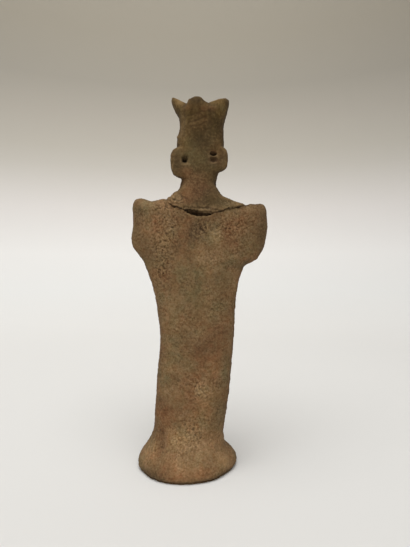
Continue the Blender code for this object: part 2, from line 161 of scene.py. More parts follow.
# Places where one lump of clay was smoothed into the next with a wet thumb.
BLENDS = (
    Mark(5.3, 9.0, 124.5, 4.5, 3.0, 5.0, 0.07),  # edges of the nose and the eyes
    Mark(0.9, 7.0, 126.3, 1.8, 2.5, 2.0, 0.5),
    Mark(9.7, 7.0, 126.3, 1.8, 2.5, 2.0, 0.5),
    Mark(5.3, 6.8, 132.2, 6.0, 3.0, 2.0, 1.0),  # brow into the crown
    Mark(5.3, 6.0, 116.0, 4.0, 3.0, 1.8, 0.7),  # chin into the neck
    Mark(23.7, -6.8, 106.3, 1.5, 2.2, 1.4, 1.0),  # ends of the flap into the shoulders
    Mark(-7.9, -7.6, 108.0, 1.2, 2.5, 1.6, 0.6),
    Mark(2.0, -5.5, 119.0, 4.5, 3.5, 4.0, 1.0),  # ears into the head and the neck
    Mark(10.5, -5.5, 121.5, 3.5, 3.5, 3.0, 1.0),
    Mark(2.5, -5.8, 128.5, 4.0, 3.5, 2.5, 1.0),
    Mark(5.0, -6.0, 114.5, 10.0, 4.0, 4.5, 1.0),  # neck into the flap over the back
    Mark(5.0, 5.5, 108.0, 14.0, 5.0, 3.5, 1.0),  # neck into the chest
    Mark(-1.0, 2.0, 124.0, 2.5, 4.0, 7.0, 0.6),  # cheeks into the slab of the head
    Mark(11.5, 2.0, 124.0, 2.5, 4.0, 7.0, 0.6),
)

# Rough, pitted places where the surface has gone, and with a negative amount smoother ones.
PITTED = (
    Mark(-7.6, -7.0, 104.0, 4.5, 5.0, 5.0, 1.0),  # a band down the left shoulder
    Mark(-8.2, -7.0, 95.5, 4.5, 5.0, 6.0, 1.0),
    Mark(-9.6, -6.5, 85.5, 4.0, 5.0, 6.0, 0.8),
    Mark(-10.2, -6.0, 78.0, 3.5, 5.0, 5.0, 0.6),
    Mark(13.5, -7.0, 96.0, 5.0, 5.0, 5.0, 0.7),  # right shoulder
    Mark(21.0, -6.5, 100.0, 6.0, 5.0, 4.0, 0.6),
    Mark(6.0, -7.4, 97.0, 3.2, 4.0, 3.0, 0.9),  # between the shoulders
    Mark(6.0, -9.5, 33.0, 3.0, 4.0, 4.0, 0.6),  # low lump on the column
    Mark(2.5, -11.5, 16.5, 3.6, 6.0, 5.5, 1.0),  # middle of the flare
    Mark(-2.0, -13.0, 10.0, 8.0, 6.0, 4.0, 0.4),
    Mark(5.0, 7.0, 92.0, 8.0, 5.0, 6.0, 0.5),  # chest, and the front of the column and the foot
    Mark(-6.0, 9.0, 52.0, 5.0, 5.0, 9.0, 0.4),
    Mark(4.0, 13.0, 14.0, 7.0, 6.0, 4.0, 0.5),
    Mark(6.0, -6.0, 136.0, 12.0, 6.0, 14.0, -0.3),  # crown and head
)

# Places with less grit than the rest: the face, and the rim of the crown from one height to another.
CALM_FACE = Mark(5.3, 9.0, 124.0, 6.0, 5.0, 7.0, 0.7)
CALM_RIM = (144.0, 147.0)

# The seam under the flap of neck clay. Its amounts are shares of its full depth.
SEAM = (
    Line(((-6.5, 106.4), (-5.4, 105.6), (-3.9, 105.0), (-1.5, 104.3), (0.6, 103.9)), 0.18, 0.9),  # left
    Line(((9.0, 102.5), (11.2, 103.0), (13.6, 103.6), (16.8, 104.6)), 0.15, 0.85),  # right
    Line(((16.8, 104.6), (20.5, 105.3), (22.6, 105.9)), 0.15, 0.75),
    Line(((9.6, 103.9), (11.6, 104.1), (13.6, 103.9)), 0.18, 0.5),  # a branch of it
    Line(((0.4, 103.5), (2.0, 102.7), (4.5, 102.2), (7.5, 102.0), (9.4, 102.4)), 0.25, 0.8),  # gap's edge
)
SEAM_WAVER = 0.25
SEAM_DEPTH = 0.55
SEAM_POWER = 1.3  # makes the seam's dark line a little narrower than its groove

# Cracks between the shoulders, where two of them meet.
CENTRE_CRACKS = Lines(
    width=0.35,
    waver=0.9,
    depth=0.22,
    tint=0.4,
    paths=(
        ((4.2, 98.8), (5.4, 97.6), (5.2, 96.2), (6.8, 95.2)),
        ((5.4, 97.6), (7.4, 98.4)),
    ),
)

# Shallow lines, which don't cross.
SHALLOW_LINES = (
    # crease down the crown
    Lines(
        width=0.5,
        waver=0.25,
        depth=0.12,
        tint=0.15,
        paths=(((8.7, 145.6), (8.9, 141.0), (8.6, 134.5)),),
    ),
    # line down the left of the crown
    Lines(
        width=0.45,
        waver=0.6,
        depth=0.1,
        tint=0.25,
        paths=(((-0.9, 142.8), (-0.8, 137.0), (-1.1, 133.5)),),
    ),
    # crust on the left end of the flap
    Lines(
        width=0.3,
        waver=0.5,
        depth=0.2,
        tint=0.4,
        paths=(
            ((-7.7, 108.4), (-5.6, 106.9), (-3.2, 106.4), (-1.2, 107.2)),
            ((-6.8, 109.5), (-4.9, 108.2), (-2.9, 107.8), (-1.4, 108.6)),
            ((-2.6, 110.6), (-1.6, 109.2), (0.3, 108.4)),
            ((-0.9, 105.2), (3.0, 105.0), (8.5, 104.9), (11.4, 104.2)),  # upper edge of the gap
        ),
    ),
    # strokes of a finger
    Lines(
        width=0.35,
        waver=0.3,
        depth=0.2,
        tint=0.1,
        paths=(
            ((-11.0, 16.5), (-12.4, 9.0)),  # slanting, on the left of the flare
            ((-11.8, 15.5), (-13.8, 8.5)),
            ((-13.0, 14.5), (-15.2, 8.0)),
            ((-14.0, 13.0), (-16.6, 7.5)),
            ((1.0, 138.6), (4.5, 139.3), (7.6, 140.6)),  # across the crown
            ((1.6, 136.9), (5.0, 137.2), (7.9, 138.5)),
            ((0.8, 141.0), (4.0, 141.6), (7.0, 142.6)),
        ),
    ),
)

# Lines that are only a colour: painted shade along edges that turn away from the light, and painted highlights
# on the lower rims of the ears' holes.
EDGE_SHADE_LINES = Lines(
    width=0.5,
    waver=0.3,
    depth=0.0,
    tint=1.1,
    paths=(
        ((12.2, 113.5), (14.2, 110.2), (17.4, 108.5), (23.4, 106.6)),  # upper edge of the flap
        ((-0.8, 144.2), (0.3, 146.2), (1.8, 148.4)),  # sides of the crown's middle point
        ((7.0, 148.6), (8.8, 146.4)),
        ((15.2, 140.5), (14.9, 137.0), (14.6, 133.0)),  # right edge of the crown
    ),
)
LIT_RIM_LINES = Lines(
    width=0.5,
    waver=0.3,
    depth=0.0,
    tint=0.35,
    paths=(
        ((-2.4, 123.4), (-1.6, 122.4), (-0.4, 122.1), (0.8, 122.7)),  # painted highlights on the lower rims of the ears' holes
        ((9.0, 125.6), (10.4, 125.1), (12.0, 125.6)),
        ((9.3, 123.2), (10.6, 122.8), (12.0, 123.2)),
    ),
)

# The ragged lower edge of the flap, over the gap.
BROKEN_EDGE = ((-0.8, 104.9), (5.5, 104.3), (11.0, 103.8))

# Insides, pushed in and darkened with painted shade: the gap under the flap and the holes through the ears.
INSIDES = (
    Mark(3.0, -5.6, 103.2, 2.4, 1.5, 0.9, 1.0),
    Mark(6.8, -5.6, 102.6, 2.6, 1.5, 0.5, 0.7),
    Mark(-0.9, -3.4, 123.9, 1.15, 2.2, 1.4, 1.0),
    Mark(10.6, -3.6, 126.4, 1.3, 2.2, 0.6, 0.9),
)
INSIDE_REACH = 1.2  # how much further they reach than the marks say
INSIDE_DEPTH = 0.9

# Clay that stands forward inside the gap, on its right.
LEDGE = Mark(8.0, -5.6, 103.3, 2.6, 1.5, 0.9, 1.3)

# The rest of the wet clay's working.
SOFTENING = 12  # rounds that smooth the solid's facets away
BLENDING = 90  # rounds that run one lump of clay into the next
SETTLING = 0.3  # how far one last round, over the dents, draws each point
WANDER = (1.6, (5.0, 9.0))  # size of the noise by which lines waver, and its seeds
LUMPS = ((0.22, 9.0, 3.1), (0.1, 3.0, 7.7))  # height, size and seed of the lumps that a hand leaves
TUCK_DEPTH = 0.6  # how far the sole's edge is drawn in
TUCK_HEIGHT = 0.9

# Grit on the fired surface: its height on even clay, what rough clay adds, its size and its seed.
GRIT = ((0.09, 0.2, 0.95, 1.3), (0.08, 0.12, 2.1, 4.4))
CREASE_DEPTH = 0.11
PIT_DEPTH = 0.3
SOIL_AND_SHADE_DEPTH = 0.16  # a hollow of this depth is darkened fully, by soil and painted shade
WORN_HEIGHT = 0.1  # and a bump of this height is worn

# Stains, and among the dark ones painted shade on the crown's right edge, in the flare's thumb hollow and
# under the foot's lower edge. Each kind has its own colour in the clay's material.
STAINS = {
    "red": (
        # crown
        Mark(0.4, -7.7, 144.2, 1.3, 3.0, 1.0, 1.0),
        Mark(9.0, -8.3, 143.6, 2.6, 3.0, 0.9, 1.0),
        Mark(5.5, -8.0, 140.0, 3.0, 4.0, 7.0, 0.35),
        # ears, neck and flap
        Mark(10.4, -5.0, 127.2, 1.6, 2.5, 0.9, 1.6),
        Mark(10.7, -5.0, 124.2, 1.6, 2.5, 1.2, 2.0),
        Mark(0.3, -5.7, 119.4, 2.6, 4.0, 2.2, 1.0),
        Mark(3.4, -5.4, 115.0, 4.0, 4.0, 3.5, 1.4),
        Mark(2.4, -6.6, 110.8, 3.4, 4.0, 3.6, 1.2),
        Mark(0.0, -7.0, 109.5, 3.0, 4.0, 2.5, 0.8),
        Mark(-4.0, -7.6, 106.0, 5.0, 4.0, 2.5, 0.6),
        # shoulders
        Mark(22.0, -6.5, 101.0, 6.0, 5.0, 3.0, 0.4),
        Mark(-0.6, -7.4, 100.0, 3.0, 4.0, 3.2, 0.9),
        Mark(-12.5, -7.4, 98.0, 4.0, 4.0, 4.0, 0.5),
        Mark(16.3, -7.3, 95.6, 2.6, 5.0, 3.8, 1.9),
        Mark(17.5, -7.0, 92.5, 5.0, 5.0, 5.0, 0.5),
        # column
        Mark(-11.0, -6.0, 79.0, 4.0, 4.0, 4.0, 0.4),
        Mark(-4.0, -8.0, 54.0, 3.0, 5.0, 4.0, 0.5),
        Mark(8.5, -9.0, 50.0, 6.0, 5.0, 4.0, 0.5),
        Mark(8.3, -8.9, 47.0, 5.5, 5.0, 4.5, 0.8),
        Mark(11.0, -8.5, 38.0, 4.0, 5.0, 4.0, 0.5),
        Mark(3.4, -9.0, 32.0, 4.0, 5.0, 8.0, 0.4),
        Mark(0.0, -9.0, 27.0, 4.0, 5.0, 4.0, 0.4),
        # foot
        Mark(-8.5, -8.5, 23.0, 4.0, 6.0, 4.5, 0.9),
        Mark(-10.0, -11.0, 14.0, 2.4, 6.0, 4.5, 0.8),
        Mark(4.0, -17.0, 3.6, 9.0, 6.0, 1.6, 0.5),
        # front
        Mark(4.0, 8.0, 88.0, 7.0, 5.0, 6.0, 0.6),
        Mark(-3.0, 10.0, 30.0, 5.0, 5.0, 8.0, 0.5),
    ),
    "olive": (
        # crown and head
        Mark(14.2, -6.2, 144.2, 1.3, 3.0, 1.4, 1.0),
        Mark(3.5, -6.4, 127.0, 6.0, 5.0, 6.0, 1.1),
        # flap and shoulders
        Mark(14.0, -8.0, 106.4, 4.0, 3.0, 1.6, 0.7),
        Mark(-16.5, -5.0, 104.0, 4.5, 4.0, 2.6, 0.7),
        Mark(11.0, -7.4, 94.8, 2.8, 3.0, 3.8, 1.9),
        Mark(24.0, -5.5, 90.0, 3.5, 4.0, 4.0, 0.5),
        # column
        Mark(4.0, -7.4, 80.5, 4.5, 4.0, 4.0, 0.6),
        Mark(15.0, -7.5, 78.0, 3.0, 4.0, 6.0, 0.5),
        Mark(4.0, -7.8, 70.0, 9.0, 4.0, 8.0, 0.5),
        Mark(-4.0, -8.5, 52.0, 5.0, 5.0, 6.0, 0.4),
        Mark(-7.0, -8.5, 46.0, 2.5, 5.0, 4.0, 0.6),
        Mark(15.5, -7.5, 40.0, 2.5, 5.0, 8.0, 0.8),
        Mark(-9.8, -8.5, 39.0, 3.0, 5.0, 5.0, 0.7),
        Mark(13.5, -7.1, 22.0, 3.0, 5.0, 5.0, 0.6),
        # front
        Mark(-9.0, 7.0, 99.0, 5.0, 4.0, 4.0, 0.5),
        Mark(9.0, 9.0, 66.0, 5.0, 5.0, 9.0, 0.6),
    ),
    "pale": (
        # crown
        Mark(-3.6, -8.0, 147.2, 1.8, 4.0, 1.6, 0.6),
        Mark(-2.4, -4.4, 138.5, 0.9, 2.5, 4.5, 0.6),
        Mark(-1.2, -7.0, 138.0, 1.4, 4.0, 4.5, 0.45),
        # flap
        Mark(-4.0, -7.6, 108.4, 2.8, 3.0, 1.9, 0.8),  # crust on its left end
        Mark(18.8, -8.0, 106.4, 3.0, 2.5, 0.7, 0.8),
        Mark(5.4, -8.4, 104.2, 3.4, 2.0, 0.5, 0.7),  # its broken edge
        Mark(8.2, -6.6, 103.3, 2.0, 1.6, 0.5, 0.5),
        # shoulders
        Mark(-8.0, -7.0, 101.0, 3.0, 4.0, 5.0, 0.5),
        Mark(11.4, -7.4, 94.4, 2.6, 3.0, 3.2, 0.6),
        Mark(5.6, -7.4, 84.5, 3.0, 4.0, 4.5, 0.2),
        # column and foot
        Mark(5.8, -9.7, 33.6, 2.6, 4.0, 3.4, 0.7),
        Mark(3.5, -12.5, 12.0, 7.0, 6.0, 4.0, 0.5),
        Mark(-14.0, -9.0, 9.0, 3.0, 5.0, 4.0, 0.4),
        # front
        Mark(16.0, 8.0, 99.0, 5.0, 4.0, 4.0, 0.4),
    ),
    "dark": (
        # crown
        Mark(16.0, -4.6, 148.2, 1.4, 3.0, 1.6, 1.0),
        # painted shade along the crown's right edge
        Mark(14.6, -4.0, 137.0, 2.2, 4.0, 4.0, 0.7),
        # right ear and neck
        Mark(10.8, -5.5, 124.5, 1.1, 2.0, 0.6, 1.7),
        Mark(13.0, -6.0, 112.0, 2.0, 4.0, 4.0, 0.5),
        # shoulders
        Mark(5.6, -7.4, 97.0, 2.4, 3.0, 3.4, 0.6),
        Mark(10.3, -7.4, 96.8, 1.4, 3.0, 1.5, 1.1),
        Mark(31.0, -3.0, 96.0, 2.0, 4.0, 9.0, 0.5),
        # foot: painted shade in the thumb's hollow, and painted shadow under its lower edge
        Mark(-9.6, -11.0, 13.4, 1.5, 5.0, 4.6, 0.45),
        Mark(-10.0, -14.0, 1.2, 9.0, 6.0, 1.0, 1.5),
        Mark(12.0, -14.0, 1.0, 8.0, 6.0, 0.8, 1.0),
    ),
}

# Soot and painted shade on the head and crown: their share over a height from where they start to where they
# are full, and a patch on the flap.
SOOT_AND_SHADE_RISES = ((0.55, 108.0, 116.0), (0.35, 126.0, 134.0))
SOOT_AND_SHADE_PATCH = Mark(7.0, -7.5, 108.0, 9.0, 3.0, 4.0, 0.75)

# Places that are lighter or darker than the rest, by this part of their tone. Some of them are painted light
# and shade, as their notes say.
TONES = (
    # crown
    Mark(6.0, -8.0, 131.8, 4.0, 6.0, 5.0, -0.36),
    Mark(5.0, -8.0, 144.0, 8.0, 6.0, 3.0, 0.1),
    Mark(5.0, -8.0, 140.5, 3.2, 5.0, 5.0, -0.16),
    Mark(-0.9, -7.0, 132.5, 2.0, 5.0, 7.0, 0.26),
    Mark(-3.4, -8.0, 147.2, 2.2, 4.0, 1.9, 0.85),  # hollows between its points: wear and painted light
    Mark(12.6, -8.0, 147.0, 3.2, 4.0, 1.5, 0.85),
    Mark(13.4, -8.0, 142.4, 2.0, 4.0, 1.8, 0.4),
    Mark(14.6, -6.0, 143.0, 1.8, 5.0, 3.5, 0.5),
    Mark(9.4, -8.0, 143.2, 2.4, 4.0, 1.2, -0.2),
    Mark(11.2, -7.0, 138.0, 2.4, 4.0, 4.0, -0.26),  # panel to the right of its crease: painted shade
    Mark(4.2, -8.0, 147.2, 2.8, 4.0, 2.3, -0.75),  # its middle point
    # ears
    Mark(10.8, -6.0, 124.0, 4.0, 5.0, 5.0, -0.3),
    Mark(-4.6, -5.0, 123.5, 2.4, 4.0, 6.0, -0.22),
    Mark(-3.2, -5.0, 122.0, 2.2, 4.0, 3.0, -0.35),
    Mark(10.9, -5.5, 123.5, 1.6, 4.0, 1.6, -0.3),
    # neck and flap
    Mark(12.6, -5.0, 112.4, 1.8, 5.0, 3.0, -0.35),
    Mark(-3.6, -5.0, 110.8, 1.4, 4.0, 1.8, -0.3),
    Mark(1.2, -6.0, 115.0, 2.5, 4.0, 3.0, 0.05),
    Mark(4.0, -6.0, 115.0, 4.0, 4.0, 2.5, -0.07),
    Mark(7.0, -7.0, 112.0, 5.0, 5.0, 4.0, -0.46),
    Mark(5.5, -8.5, 106.5, 8.0, 4.0, 3.0, -0.24),
    Mark(15.0, -8.0, 106.0, 3.0, 4.0, 2.0, -0.1),
    Mark(7.0, -7.5, 104.2, 4.0, 3.0, 0.8, -0.3),
    Mark(-6.5, -7.5, 106.8, 3.5, 4.0, 2.2, 0.2),
    # shoulders and arm stubs
    Mark(-16.0, -3.0, 108.5, 9.0, 6.0, 1.7, -0.1),  # tops, dimmed by painted shade
    Mark(24.0, -3.0, 107.0, 9.0, 6.0, 1.7, -0.33),
    Mark(-18.5, -5.0, 105.0, 2.5, 5.0, 3.0, -0.15),
    Mark(27.3, -5.0, 103.0, 2.5, 5.0, 3.0, -0.12),
    Mark(-14.0, -7.0, 99.5, 4.0, 5.0, 4.0, 0.3),
    Mark(-16.5, -6.0, 107.0, 5.0, 3.0, 1.4, 0.3),
    Mark(10.5, -7.4, 101.0, 3.5, 4.0, 2.2, -0.2),
    Mark(-8.5, -7.0, 92.0, 3.0, 5.0, 6.0, 0.38),
    Mark(18.0, -7.0, 101.0, 5.0, 5.0, 3.0, 0.2),
    Mark(2.6, -7.4, 95.6, 2.8, 4.0, 3.5, -0.6),
    Mark(11.4, -7.4, 94.4, 2.6, 4.0, 3.4, 0.7),
    Mark(-20.5, -5.0, 97.0, 2.3, 5.0, 7.0, -0.25),  # ends: painted shade where they turn away
    Mark(29.5, -5.0, 97.0, 2.5, 5.0, 7.0, -0.25),
    Mark(-15.0, -7.0, 88.0, 3.0, 5.0, 4.0, -0.2),
    Mark(-4.0, -7.5, 89.0, 2.0, 5.0, 4.0, -0.15),
    Mark(5.0, -7.5, 87.5, 2.6, 4.0, 3.0, 0.2),
    # column
    Mark(12.0, -7.5, 76.0, 2.5, 4.0, 3.0, -0.15),
    Mark(-5.0, -8.0, 59.0, 4.0, 5.0, 5.0, 0.2),
    Mark(-7.5, -8.0, 52.0, 3.0, 5.0, 14.0, 0.1),
    Mark(8.5, -8.0, 81.0, 2.8, 5.0, 4.0, 0.28),
    Mark(-4.0, -7.5, 76.0, 2.5, 4.0, 3.0, 0.15),
    Mark(-6.5, -9.0, 40.5, 3.0, 5.0, 3.0, 0.16),
    Mark(14.0, -8.0, 66.0, 4.0, 5.0, 4.0, 0.1),
    Mark(13.0, -8.5, 57.0, 5.0, 5.0, 4.0, -0.16),
    Mark(6.0, -8.8, 50.0, 8.0, 5.0, 4.0, -0.3),
    Mark(12.0, -9.0, 40.0, 3.0, 5.0, 4.0, 0.25),
    Mark(7.5, -9.5, 31.0, 4.0, 5.0, 7.0, 0.42),
    Mark(0.0, -10.0, 33.0, 3.0, 5.0, 3.0, 0.12),
    Mark(-9.5, -9.0, 27.0, 3.0, 5.0, 3.5, -0.36),
    # foot: partly paler clay, partly painted light where the flare faces up
    Mark(2.0, -14.0, 10.0, 22.0, 16.0, 9.0, 0.18),
    Mark(3.0, -11.0, 20.0, 4.5, 6.0, 5.0, 0.42),
    Mark(-3.0, -12.0, 15.0, 3.5, 6.0, 3.5, 0.42),
    Mark(-10.2, -11.0, 13.0, 1.7, 6.0, 5.0, -0.42),  # painted shade in the thumb's hollow
    Mark(-15.0, -9.0, 11.5, 2.2, 6.0, 4.0, 0.3),
    Mark(13.0, -9.0, 16.0, 2.5, 6.0, 3.0, 0.2),
    Mark(-17.0, -9.0, 9.5, 2.0, 6.0, 3.0, 0.15),
    Mark(12.5, -8.0, 25.0, 2.5, 5.0, 5.0, -0.25),
    Mark(-2.0, -15.0, 7.5, 5.0, 6.0, 4.0, 0.2),
    Mark(14.0, -10.0, 13.0, 4.0, 6.0, 3.5, 0.26),
    Mark(-14.5, -10.0, 6.0, 4.0, 6.0, 3.0, 0.18),
    # painted shadow under the foot's lower edge
    Mark(-11.0, -13.5, 2.6, 4.5, 6.0, 1.8, -0.5),
    Mark(-18.0, -4.0, 8.5, 3.5, 9.0, 5.5, 0.5),
    Mark(19.5, -4.0, 8.5, 3.5, 9.0, 5.5, 0.5),
    Mark(14.5, -10.0, 6.5, 4.0, 6.0, 4.0, 0.3),
    # front
    Mark(5.0, 8.0, 60.0, 9.0, 5.0, 9.0, -0.15),
    Mark(-6.0, 9.0, 84.0, 5.0, 5.0, 6.0, 0.18),
    Mark(12.0, 9.0, 30.0, 5.0, 5.0, 7.0, 0.15),
    Mark(20.0, 7.0, 95.0, 5.0, 5.0, 6.0, -0.15),
    Mark(0.0, 15.0, 12.0, 7.0, 6.0, 5.0, 0.2),
)
PLAIN_TONE = 0.5
PAINTED_SIDE_SHADE = 0.35  # painted shade: how much darker the clay is made where it turns to the side
PAINTED_GROUND_SHADE = 0.5  # and painted shade just over the ground, up to about this height
GROUND_HEIGHT = 1.7

# How much a light grain gains in red, green and blue. Light grains are paler, and dark ones a deeper brown.
GRAIN_POWERS = (0.78, 1.0, 1.45)

# The Mix node's sockets for a share and two colours, and the one for its result.
MIX_INPUTS = (0, 6, 7)
MIX_RESULT = 2

# The sweep, in metres: a round floor, a curve up from its edge, and a wall.
SWEEP_RADIUS = 1.0
SWEEP_CURVE = 0.7
SWEEP_HEIGHT = 1.0
CURVE_STEPS = 24
ROUND_STEPS = 64

# Colours of the paper at these heights up the wall, in metres, with painted shade as the light falls off
# towards the top.
PAPER_TONES = {
    0.0: (0.71, 0.703, 0.684),
    0.04: (0.721, 0.722, 0.709),
    0.1: (0.74, 0.731, 0.715),
    0.2: (0.651, 0.626, 0.602),
    0.31: (0.497, 0.472, 0.427),
    0.36: (0.453, 0.427, 0.377),
    0.46: (0.396, 0.368, 0.322),
    0.55: (0.342, 0.318, 0.274),
    0.69: (0.343, 0.314, 0.261),
}

# How the paper's tone changes from just before the figure to behind it, for each metre to the right, and for
# each square metre to either side. It is painted light and shade across the floor and towards the sides.
PAPER_AWAY = {"From Min": -0.05, "From Max": 0.35, "To Min": 0.97, "To Max": 1.11}
PAPER_RIGHT = -0.14
PAPER_SIDES = -0.55


class ClayProperties(bpy.types.PropertyGroup):
    """Sizes and colours of the fired clay."""

    skin: FloatProperty(
        name="Skin", description="Size of the cells of the fine skin", default=0.32 * MM, unit="LENGTH"
    )
    triangles: IntProperty(
        name="Triangles", description="Most triangles that the figure keeps", default=196000, min=20000
    )
    body: FloatVectorProperty(
        name="Body", description="Brown of most of the clay", default=(0.159, 0.09, 0.036), subtype="COLOR"
    )
    buff: FloatVectorProperty(
        name="Buff", description="Lighter clouds in the clay", default=(0.197, 0.117, 0.051), subtype="COLOR"
    )
    red: FloatVectorProperty(
        name="Red", description="Iron-red clouds", default=(0.178, 0.077, 0.029), subtype="COLOR"
    )
    olive: FloatVectorProperty(
        name="Olive", description="Grey-green stains", default=(0.128, 0.095, 0.0395), subtype="COLOR"
    )
    pale: FloatVectorProperty(
        name="Pale", description="Crust and worn edges", default=(0.31, 0.203, 0.094), subtype="COLOR"
    )
    # soot, and painted shade on the head, the crown and the flap
    soot_and_shade: FloatVectorProperty(
        name="Soot", description="Brown of the head and crown", default=(0.063, 0.036, 0.007), subtype="COLOR"
    )
    # soil, and painted shade in the hollows, along edges and under the foot's edge
    soil_and_shade: FloatVectorProperty(
        name="Soil", description="Soil in the hollows", default=(0.06, 0.034, 0.014), subtype="COLOR"
    )
    # dark insides of cracks, and painted shade inside the holes and the gap
    depth: FloatVectorProperty(
        name="Depth", description="Insides of cracks and holes", default=(0.018, 0.01, 0.004), subtype="COLOR"
    )


class StageProperties(bpy.types.PropertyGroup):
    """Places and strengths of the lights, and the camera's view."""

    lamp_power: FloatProperty(
        name="Lamp", description="Power of the overhead lamp", default=31.5, min=0.0, unit="POWER"
    )
    lamp_size: FloatProperty(
        name="Lamp size", description="Width of the round lamp", default=1.85, min=0.01, unit="LENGTH"
    )
    lamp_place: FloatVectorProperty(
        name="Lamp place", description="Its middle", default=(-0.15, -0.55, 1.42), subtype="TRANSLATION"
    )
    lamp_aim: FloatVectorProperty(
        name="Lamp aim", description="Point that the lamp faces", default=(0, 0, 0.08), subtype="TRANSLATION"
    )
    room_light: FloatProperty(
        name="Room light", description="Strength of the light from all sides", default=0.2, min=0.0
    )
    room_colour: FloatVectorProperty(
        name="Room colour", description="Colour of that light", default=(1.0, 0.99, 0.97), subtype="COLOR"
    )
    camera_place: FloatVectorProperty(
        name="Camera", description="Its place", default=(0.0073, -0.1776, 0.0835), subtype="TRANSLATION"
    )
    camera_pitch: FloatProperty(
        name="Pitch", description="Its angle from straight down", default=radians(88.5), subtype="ANGLE"
    )
    camera_lens: FloatProperty(
        name="Lens", description="Focal length of its lens", default=28.3, min=1.0, unit="CAMERA"
    )


def ramp(values, start, end):
    """0 up to the start, 1 from the end on, and evenly more in between. The end may be the lower one."""
    return np.clip((values - start) / (end - start), 0, 1)


class Skin:
    """The points of the fine mesh, in millimetres, and the ways to work them."""

    def __init__(self, mesh):
        self.mesh = mesh
        self.points = np.zeros(len(mesh.vertices) * 3, np.float32)
        mesh.vertices.foreach_get("co", self.points)
        self.points = self.points.reshape(-1, 3).astype(float) / MM
        edges = np.zeros(len(mesh.edges) * 2, np.int32)
        mesh.edges.foreach_get("vertices", edges)
        self.ends = edges.reshape(-1, 2)
        self.count = np.bincount(edges, minlength=len(self.points))
        self.wander = np.zeros((len(self.points), 2))

    def around(self, values):
        """The mean of the values of each point's neighbours."""
        one, other = self.ends.T
        size = len(self.points)
        total = np.bincount(one, values[other], size) + np.bincount(other, values[one], size)
        return total / self.count

    def smooth(self, passes, share=0.5, where=1.0):
        """Draws each point towards the middle of its neighbours."""
        for _ in range(passes):
            middle = np.stack([self.around(column) for column in self.points.T], axis=1)
            self.points += (middle - self.points) * np.reshape(share * where, (-1, 1))

    def soften(self, passes):
        """Smooths without shrinking: each step in is followed by a slightly longer step out."""
        for _ in range(passes):
            self.smooth(1, 0.5)
            self.smooth(1, -0.52)

    def write(self):
        """Puts the points back into the mesh."""
        self.mesh.vertices.foreach_set("co", (self.points * MM).astype(np.float32).ravel())
        self.mesh.update()

    def normals(self):
        """The way out of the clay at each point."""
        self.write()
        found = np.zeros(len(self.points) * 3, np.float32)
        self.mesh.vertex_normals.foreach_get("vector", found)
        return found.reshape(-1, 3).astype(float)

    def push(self, amounts):
        """Moves each point out along its normal by an amount, or in by a negative one."""
        self.points += self.normals() * amounts[:, None]

    def near(self, mark):
        """How strongly a mark is felt at each point, from 0 to 1."""
        off = self.points - (mark.x, mark.y, mark.z)
        return np.exp(-((off / (mark.wide, mark.deep, mark.tall)) ** 2).sum(axis=1))

    def noise(self, size, seed, octaves=2):
        """Soft noise from about -1 to 1, with lumps as large as the size."""
        return np.array([noise.fractal(place, 1.0, 2.0, octaves) for place in self.points / size + seed])

    def let_lines_wander(self):
        """Settles how far to the side and up a line strays at each point, for a waver of 1."""
        size, seeds = WANDER
        self.wander = np.stack([self.noise(size, seed) for seed in seeds], axis=1)

    def line(self, path, width, waver, face=False):
        """1 along a line over the back of the figure or over its face, and 0 away from it."""
        places = self.points[:, (0, 2)] + waver * self.wander
        nearest = np.full(len(places), np.inf)
        for start, end in zip(path, path[1:]):
            along = np.subtract(end, start)
            share = np.clip((places - start) @ along / (along @ along), 0, 1)
            nearest = np.minimum(nearest, np.hypot(*(places - start - share[:, None] * along).T))
        side = self.points[:, 1] > FACE_HALF if face else self.points[:, 1] < BACK_HALF
        return np.exp(-((nearest / width) ** 2)) * side

    def keep(self, name, values):
        """Keeps a value from 0 to 1 for each point as an attribute of the mesh."""
        attribute = self.mesh.attributes.new(name, "FLOAT", "POINT")
        attribute.data.foreach_set("value", np.clip(values, 0, 1).astype(np.float32))


def strength(skin, marks):
    """How strongly marks are felt at each point, all together."""
    return sum(mark.amount * skin.near(mark) for mark in marks)


def drawn(skin, lines):
    """How strongly lines that are alike are felt at each point, all together."""
    return sum(skin.line(path, lines.width, lines.waver) for path in lines.paths)


def as_modified(piece):
    """A new mesh of a piece as its modifiers make it."""
    depsgraph = bpy.context.evaluated_depsgraph_get()
    return bpy.data.meshes.new_from_object(piece.evaluated_get(depsgraph))


def grown_skin(size):
    """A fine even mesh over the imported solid."""
    bm = bmesh.new()
    bm.from_mesh(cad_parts["idol"].data)
    bmesh.ops.remove_doubles(bm, verts=bm.verts, dist=MERGE)
    core = bpy.data.meshes.new("core")
    bm.to_mesh(core)
    bm.free()
    grown = bpy.data.objects.new("grown", core)
    bpy.context.scene.collection.objects.link(grown)
    remesh = grown.modifiers.new("skin", "REMESH")
    remesh.mode = "VOXEL"
    remesh.voxel_size = size
    mesh = as_modified(grown)
    bpy.data.objects.remove(grown)
    bpy.data.meshes.remove(core)
    return mesh


